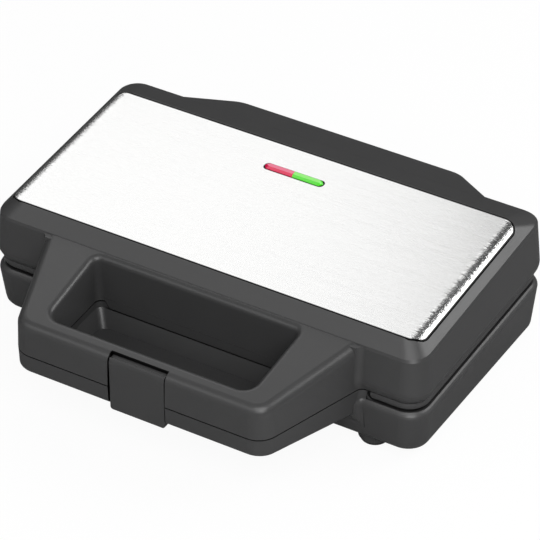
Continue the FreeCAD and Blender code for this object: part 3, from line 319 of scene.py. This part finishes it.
def painted_joint_shade(tree, colour, reach, shade):
    """Painted shade: colour that darkens in the narrow joints and crevices between pieces, within a reach of the
    opposite wall, where shade falls.
    """
    openness = add_node(tree, "ShaderNodeAmbientOcclusion", {"Distance": reach}, samples=JOINT_SAMPLES)
    return scaled(tree, colour, ramp(tree, openness.outputs["AO"], *JOINT_OPENNESS, shade, 1.0))


def beyond(tree, place, low, high, inset=(0, 0, 0)):
    """How far a place lies outside a box along each axis, after the box is drawn in by an inset."""
    moved = vector_maths(tree, "SUBTRACT", place, (low + high) / 2)
    return vector_maths(tree, "SUBTRACT", vector_maths(tree, "ABSOLUTE", moved), (high - low) / 2 - Vector(inset))


def painted_room_shade(tree, colour, place, low, high):
    """Painted shade: colour that darkens on walls inside a box, such as those behind the clip."""
    axes = axes_of(tree, beyond(tree, place, Vector(low), Vector(high)))
    outside = maths(tree, "MAXIMUM", maths(tree, "MAXIMUM", axes["X"], axes["Y"]), axes["Z"])
    return scaled(tree, colour, ramp(tree, outside, 0.0, ROOM_BORDER, ROOM_SHADE, 1.0))


def span(nodes):
    """Lowest and highest corner of some nodes, in their own coordinates."""
    points = [Vector(point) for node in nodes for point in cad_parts[node].bound_box]
    return [Vector(side(point[i] for point in points) for i in range(3)) for side in (min, max)]


def past_core(tree, place, nodes, corner):
    """Distance in plan from the core of a rounded outline; it equals the corner's radius on the outline itself."""
    past = vector_maths(tree, "MAXIMUM", beyond(tree, place, *span(nodes), (corner, corner, 0)), (0, 0, 0))
    flat = vector_maths(tree, "MULTIPLY", past, (1, 1, 0))
    return add_node(tree, "ShaderNodeVectorMath", {0: flat}, operation="LENGTH").outputs["Value"]


def painted_edge_shade(tree, colour, reach, start, end):
    """Painted shade: colour that darkens from one reach to another at the rim of a sheet, where shade falls in the
    gap beside it.
    """
    return scaled(tree, colour, ramp(tree, reach, start, end, 1.0, EDGE_SHADE))


def end_share(tree, place, node, start, full):
    """Share that grows from 0 to 1 towards the left and right ends of a node, between two distances from them."""
    past = axes_of(tree, beyond(tree, place, *span((node,)), (start, 0, 0)))["X"]
    return ramp(tree, past, 0.0, start - full)


def leaning_lines(tree, normal, place, share):
    """Normal that leans along X by another amount on each brush line, so that reflections break up at a bend."""
    lines = add_node(tree, "ShaderNodeGroup", {
        "Vector": place, "Line Length": BEND_LINE_LENGTH, "Line Width": BEND_LINE_WIDTH}, node_tree=brushed_lines())
    lean = maths(tree, "MULTIPLY", maths(tree, "SUBTRACT", lines.outputs["Height"], NOISE_MIDDLE), BEND_LEAN)
    aside = add_node(tree, "ShaderNodeCombineXYZ", {"X": maths(tree, "MULTIPLY", lean, share)}).outputs[0]
    return vector_maths(tree, "NORMALIZE", vector_maths(tree, "ADD", normal, aside))


def painted_top_highlight(tree, side, top):
    """Colour of a clear lens with a painted highlight: full on its slanting sides and paler on its flat top."""
    normal = add_node(tree, "ShaderNodeTexCoord").outputs["Normal"]
    level = ramp(tree, axes_of(tree, normal)["Z"], *LENS_TOP_HIGHLIGHT)
    # A mix of colours has its two colours at sockets 6 and 7 and its result at 2
    return add_node(tree, "ShaderNodeMix", {"Factor": level, 6: side, 7: top}, data_type="RGBA").outputs[2]


def shader_of(material):
    return material.node_tree.nodes["Principled BSDF"]


def source_of(shader, label):
    """Socket that feeds an input of a shader."""
    return shader.inputs[label].links[0].from_socket


def textured(name, group, values, bump, metallic=0.0):
    """Material whose colour, roughness and relief come from one of the shared groups."""
    material = bpy.data.materials.new(name)
    material.use_nodes = True
    tree, shader = material.node_tree, shader_of(material)
    texture = add_node(tree, "ShaderNodeGroup", {"Vector": object_place(tree), **values}, node_tree=group)
    tree.links.new(texture.outputs["Colour"], shader.inputs["Base Color"])
    tree.links.new(texture.outputs["Roughness"], shader.inputs["Roughness"])
    relief = add_node(tree, "ShaderNodeBump",
                      {"Strength": 1.0, "Distance": bump, "Height": texture.outputs["Height"]})
    tree.links.new(relief.outputs["Normal"], shader.inputs["Normal"])
    shader.inputs["Metallic"].default_value = metallic
    return material


def rgba(colour):
    return (*colour, 1.0)


def dress(names, material):
    """Gives some nodes of the frame one material."""
    for name in names:
        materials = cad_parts[name].data.materials
        materials.clear()
        materials.append(material)


class SANDWICH_OT_shells(Operator):
    """Gives the shells, the handle covers and the clip their satin moulded plastic"""

    bl_idname = "sandwich.shells"
    bl_label = "Moulded Shells"

    def execute(self, context):
        finish = context.scene.sandwich_finish
        plastic = textured(
            "Satin Plastic", moulded_grain(),
            {"Colour": rgba(finish.plastic), "Colour Drift": 0.16, "Roughness": finish.plastic_roughness,
             "Roughness Drift": 0.14, "Grain Size": finish.plastic_grain, "Drift Size": 0.02},
            bump=0.00002)
        tree, shader = plastic.node_tree, shader_of(plastic)
        # Painted shade in the joints and crevices of the plastic
        colour = painted_joint_shade(tree, source_of(shader, "Base Color"), JOINT_REACH, JOINT_SHADE)
        tree.links.new(colour, shader.inputs["Base Color"])
        dress(("latch_clip",), plastic)
        dress(MOULDED_SHELLS, self.housing(plastic))
        return {"FINISHED"}

    def housing(self, plastic):
        """The same plastic, with painted shade in the rooms of the shells."""
        housing = plastic.copy()
        housing.name = "Satin Housing"
        tree, shader = housing.node_tree, shader_of(housing)
        colour, place = source_of(shader, "Base Color"), object_place(tree)
        # Painted shade on the walls behind the clip and along the lap joint in the grip
        for low, high in PAINTED_SHADE_ROOMS:
            colour = painted_room_shade(tree, colour, place, low, high)
        tree.links.new(colour, shader.inputs["Base Color"])
        return housing


class SANDWICH_OT_trim(Operator):
    """Brushes the steel trim plate on the lid"""

    bl_idname = "sandwich.trim"
    bl_label = "Trim Plate"

    def execute(self, context):
        finish = context.scene.sandwich_finish
        steel = textured(
            "Brushed Steel", brushed_lines(),
            {"Colour": rgba(finish.steel), "Colour Drift": 0.26, "Roughness": finish.steel_roughness,
             "Roughness Drift": 0.30, "Line Length": finish.brush_length, "Line Width": finish.brush_width},
            bump=0.00002, metallic=1.0)
        tree, shader = steel.node_tree, shader_of(steel)
        place = object_place(tree)
        rim = past_core(tree, place, (TRIM_PLATE,), TRIM_CORNER)
        slot = past_core(tree, place, LENSES, LENS_CORNER)
        # Painted shade at the rim of the plate and round the lens slot
        colour = painted_edge_shade(tree, source_of(shader, "Base Color"), rim, *RIM_SHADE_SPAN)
        colour = painted_edge_shade(tree, colour, slot, *SLOT_SHADE_SPAN)
        bend = end_share(tree, place, TRIM_PLATE, BEND_START, BEND_FULL)
        normal = leaning_lines(tree, source_of(shader, "Normal"), place, bend)
        polish = ramp(tree, bend, 0.0, 1.0, 1.0, BEND_ROUGHNESS)
        gloss = maths(tree, "MULTIPLY", source_of(shader, "Roughness"), polish)
        for label, socket in (("Base Color", colour), ("Normal", normal), ("Roughness", gloss)):
            tree.links.new(socket, shader.inputs[label])
        dress((TRIM_PLATE,), steel)
        return {"FINISHED"}


class SANDWICH_OT_lenses(Operator):
    """Tints the two lenses and the neon lamps under them"""

    bl_idname = "sandwich.lenses"
    bl_label = "Indicator Lenses"

    def execute(self, context):
        finish = context.scene.sandwich_finish
        tints = (("Red Lens", finish.red, finish.red_top_highlight), ("Green Lens", finish.green, finish.green_top_highlight))
        for node, (label, colour, top) in zip(LENSES, tints):
            dress((node,), self.lens(label, rgba(colour), rgba(top)))
        glass = textured(
            "Lamp Glass", moulded_grain(),
            {"Colour": (0.95, 0.86, 0.76, 1), "Colour Drift": 0.1, "Roughness": 0.08, "Roughness Drift": 0.08,
             "Grain Size": 0.002, "Drift Size": 0.01},
            bump=0.000004)
        shader_of(glass).inputs["Transmission Weight"].default_value = 0.8
        dress(NEON_LAMPS, glass)
        return {"FINISHED"}

    def lens(self, label, colour, top):
        """Clear tinted plastic with a painted highlight that makes it paler on top, painted shade at its border,
        and a faint glow as if lit from below.
        """
        lens = textured(
            label, moulded_grain(),
            {"Colour": colour, "Colour Drift": 0.2, "Roughness": 0.16, "Roughness Drift": 0.1,
             "Grain Size": 0.0012, "Drift Size": 0.006},
            bump=0.000005)
        tree, shader = lens.node_tree, shader_of(lens)
        tint = source_of(shader, "Base Color")
        # Painted highlight on the flat top, and painted shade at the border of the lens
        tree.links.new(painted_top_highlight(tree, colour, top), tint.node.inputs["Colour"])
        tree.links.new(painted_joint_shade(tree, tint, LENS_REACH, LENS_SHADE), shader.inputs["Base Color"])
        shader.inputs["Coat Weight"].default_value = 0.5
        # Faint glow painted into the lens, as if lit from below
        shader.inputs["Emission Color"].default_value = colour
        shader.inputs["Emission Strength"].default_value = 0.2
        return lens


class SANDWICH_OT_plates(Operator):
    """Coats the two cooking plates"""

    bl_idname = "sandwich.plates"
    bl_label = "Cooking Plates"

    def execute(self, context):
        finish = context.scene.sandwich_finish
        coating = textured(
            "Non-stick Coating", moulded_grain(),
            {"Colour": rgba(finish.coating), "Colour Drift": 0.7, "Roughness": 0.36, "Roughness Drift": 0.2,
             "Grain Size": 0.0008, "Drift Size": 0.012},
            bump=0.00004)
        shader_of(coating).inputs["Coat Weight"].default_value = 0.15
        dress(COOKING_PLATES, coating)
        return {"FINISHED"}


class SANDWICH_OT_inside(Operator):
    """Finishes the heaters, sheets, pins, screws and control pieces"""

    bl_idname = "sandwich.inside"
    bl_label = "Heating and Hardware"

    def execute(self, context):
        dress(HEATERS, textured(
            "Heater Sheath", moulded_grain(),
            {"Colour": (0.22, 0.21, 0.20, 1), "Colour Drift": 0.8, "Roughness": 0.5, "Roughness Drift": 0.2,
             "Grain Size": 0.0007, "Drift Size": 0.015},
            bump=0.00003, metallic=1.0))
        dress(FOLDED_SHEETS, textured(
            "Rolled Sheet", brushed_lines(),
            {"Colour": (0.58, 0.58, 0.58, 1), "Colour Drift": 0.3, "Roughness": 0.34, "Roughness Drift": 0.2,
             "Line Length": 0.08, "Line Width": 0.0012},
            bump=0.00001, metallic=1.0))
        dress(BRIGHT_PIECES, textured(
            "Bright Zinc", brushed_lines(),
            {"Colour": (0.68, 0.68, 0.67, 1), "Colour Drift": 0.2, "Roughness": 0.24, "Roughness Drift": 0.15,
             "Line Length": 0.004, "Line Width": 0.0004},
            bump=0.000006, metallic=1.0))
        dress(CERAMIC_PIECES, textured(
            "White Ceramic", moulded_grain(),
            {"Colour": (0.75, 0.73, 0.68, 1), "Colour Drift": 0.12, "Roughness": 0.6, "Roughness Drift": 0.15,
             "Grain Size": 0.0005, "Drift Size": 0.006},
            bump=0.00003))
        dress(("lamp_holder",), textured(
            "Pale Moulding", moulded_grain(),
            {"Colour": (0.60, 0.60, 0.57, 1), "Colour Drift": 0.1, "Roughness": 0.45, "Roughness Drift": 0.1,
             "Grain Size": 0.0006, "Drift Size": 0.01},
            bump=0.00001))
        return {"FINISHED"}


class SANDWICH_OT_rubber(Operator):
    """Gives the feet and the cord bush their matte rubber"""

    bl_idname = "sandwich.rubber"
    bl_label = "Rubber Pieces"

    def execute(self, context):
        finish = context.scene.sandwich_finish
        dress(RUBBER_PIECES, textured(
            "Matte Rubber", moulded_grain(),
            {"Colour": rgba(finish.rubber), "Colour Drift": 0.5, "Roughness": 0.72, "Roughness Drift": 0.2,
             "Grain Size": 0.0005, "Drift Size": 0.004},
            bump=0.00003))
        return {"FINISHED"}


class SANDWICH_OT_studio(Operator):
    """Sets up the camera, the pale floor, the light panels and the white room"""

    bl_idname = "sandwich.studio"
    bl_label = "Studio"

    def execute(self, context):
        studio = context.scene.sandwich_studio
        context.scene.view_settings.view_transform = "Standard"
        self.camera(context, studio)
        self.floor(context, studio)
        self.room(context, studio)
        for name, power, place, aim, width, length, roll in LIGHT_PANELS:
            self.panel(context, name, getattr(studio, power), place, aim, width, length, roll)
        return {"FINISHED"}

    def camera(self, context, studio):
        azimuth, elevation = studio.camera_azimuth, studio.camera_elevation
        back = Vector((math.sin(azimuth) * math.cos(elevation),
                       -math.cos(azimuth) * math.cos(elevation), math.sin(elevation)))
        data = bpy.data.cameras.new("Camera")
        data.lens = studio.camera_lens
        data.sensor_width = SENSOR_WIDTH
        data.clip_start, data.clip_end = CLIP_START, CLIP_END
        camera = bpy.data.objects.new("Camera", data)
        turn = (-back).to_track_quat("-Z", "Y").to_matrix().to_4x4()
        camera.matrix_world = Matrix.Translation(studio.camera_place) @ turn
        context.scene.collection.objects.link(camera)
        context.scene.camera = camera

    def floor(self, context, studio):
        turns = [2 * math.pi * i / FLOOR_CORNERS for i in range(FLOOR_CORNERS)]
        points = [(studio.floor_radius * math.cos(turn), studio.floor_radius * math.sin(turn), -FLOOR_DROP)
                  for turn in turns]
        mesh = bpy.data.meshes.new("Floor")
        mesh.from_pydata(points, [], [tuple(range(FLOOR_CORNERS))])
        floor = bpy.data.objects.new("Floor", mesh)
        context.scene.collection.objects.link(floor)
        mesh.materials.append(self.floor_paint(studio))

    def floor_paint(self, studio):
        """White with a faint shadow to the camera, plain paint as a source of light, and dimmer in reflections,
        with a painted pool of light to the front right.
        """
        material = bpy.data.materials.new("Pale Floor")
        material.use_nodes = True
        tree = material.node_tree
        tree.nodes.remove(shader_of(material))
        paint = add_node(tree, "ShaderNodeBsdfDiffuse", {"Color": FLOOR_PAINT})
        white = add_node(tree, "ShaderNodeEmission", {"Color": WHITE, "Strength": 1.0})
        # Painted pool of light on the floor, in reflections only
        away = add_node(tree, "ShaderNodeVectorMath", {0: object_place(tree), 1: GLOW_PLACE}, operation="DISTANCE")
        painted_pool = ramp(tree, away.outputs["Value"], *GLOW_REACH, GLOW_INSIDE, GLOW_OUTSIDE)
        dim = add_node(tree, "ShaderNodeBsdfDiffuse", {"Color": painted_pool})
        ray = add_node(tree, "ShaderNodeLightPath")
        seen = mixed_shader(tree, studio.floor_shadow, white, paint)
        unseen = mixed_shader(tree, mirrored_rays(tree, ray), paint, dim)
        shown = mixed_shader(tree, ray.outputs["Is Camera Ray"], unseen, seen)
        tree.links.new(shown.outputs[0], tree.nodes["Material Output"].inputs["Surface"])
        return material

    def room(self, context, studio):
        """White to the camera, an even fill for matte surfaces, and shaded by direction in reflections."""
        world = bpy.data.worlds.new("White Room")
        context.scene.world = world
        world.use_nodes = True
        tree = world.node_tree
        direction = axes_of(tree, add_node(tree, "ShaderNodeTexCoord").outputs["Generated"])
        rise = maths(tree, "SUBTRACT", direction["Z"], maths(tree, "MULTIPLY", direction["Y"], ROOM_FORWARD))
        overhead = ramp(tree, rise, *ROOM_RISE, ROOM_DARK, studio.room_gloss)
        behind = ramp(tree, direction["Y"], *BAND_BEHIND, 0.0, BAND_LEVEL)
        height = maths(tree, "MULTIPLY", ramp(tree, direction["Z"], *BAND_LOW),
                       ramp(tree, direction["Z"], *BAND_HIGH, 1.0, 0.0))
        shine = maths(tree, "MAXIMUM", overhead, maths(tree, "MULTIPLY", behind, height))
        fill = add_node(tree, "ShaderNodeBackground", {"Color": WHITE, "Strength": studio.room_fill})
        white = add_node(tree, "ShaderNodeBackground", {"Color": WHITE, "Strength": 1.0})
        gloss = add_node(tree, "ShaderNodeBackground", {"Color": WHITE, "Strength": shine})
        ray = add_node(tree, "ShaderNodeLightPath")
        unseen = mixed_shader(tree, mirrored_rays(tree, ray), fill, gloss)
        shown = mixed_shader(tree, ray.outputs["Is Camera Ray"], unseen, white)
        tree.links.new(shown.outputs[0], tree.nodes["World Output"].inputs["Surface"])

    def panel(self, context, name, power, place, aim, width, length, roll):
        data = bpy.data.lights.new(name, "AREA")
        data.shape = "RECTANGLE"
        data.size, data.size_y = width, length
        data.energy = power
        lamp = bpy.data.objects.new(name, data)
        turn = (Vector(aim) - Vector(place)).to_track_quat("-Z", "Y").to_matrix().to_4x4()
        lamp.matrix_world = Matrix.Translation(place) @ turn @ Matrix.Rotation(roll, 4, "Z")
        lamp.visible_camera = False
        context.scene.collection.objects.link(lamp)


class SANDWICH_PT_dressing(Panel):
    """Sizes, colours and steps of the dressing"""

    bl_idname = "SANDWICH_PT_dressing"
    bl_label = "Sandwich Maker"
    bl_space_type = "VIEW_3D"
    bl_region_type = "UI"
    bl_category = "Sandwich Maker"

    def draw(self, context):
        for group in (context.scene.sandwich_finish, context.scene.sandwich_studio):
            box = self.layout.box()
            for name in group.__annotations__:
                box.prop(group, name)
        for operator in STEPS:
            self.layout.operator(operator.bl_idname)


STEPS = (SANDWICH_OT_studio, SANDWICH_OT_shells, SANDWICH_OT_trim, SANDWICH_OT_lenses, SANDWICH_OT_plates,
         SANDWICH_OT_inside, SANDWICH_OT_rubber)
CLASSES = (SandwichFinish, SandwichStudio) + STEPS + (SANDWICH_PT_dressing,)


def register():
    for item in CLASSES:
        bpy.utils.register_class(item)
    bpy.types.Scene.sandwich_finish = PointerProperty(type=SandwichFinish)
    bpy.types.Scene.sandwich_studio = PointerProperty(type=SandwichStudio)


def unregister():
    del bpy.types.Scene.sandwich_studio
    del bpy.types.Scene.sandwich_finish
    for item in reversed(CLASSES):
        bpy.utils.unregister_class(item)


def main():
    register()
    bpy.ops.sandwich.studio()
    bpy.ops.sandwich.shells()
    bpy.ops.sandwich.trim()
    bpy.ops.sandwich.lenses()
    bpy.ops.sandwich.plates()
    bpy.ops.sandwich.inside()
    bpy.ops.sandwich.rubber()


if __name__ == "__main__":
    main()
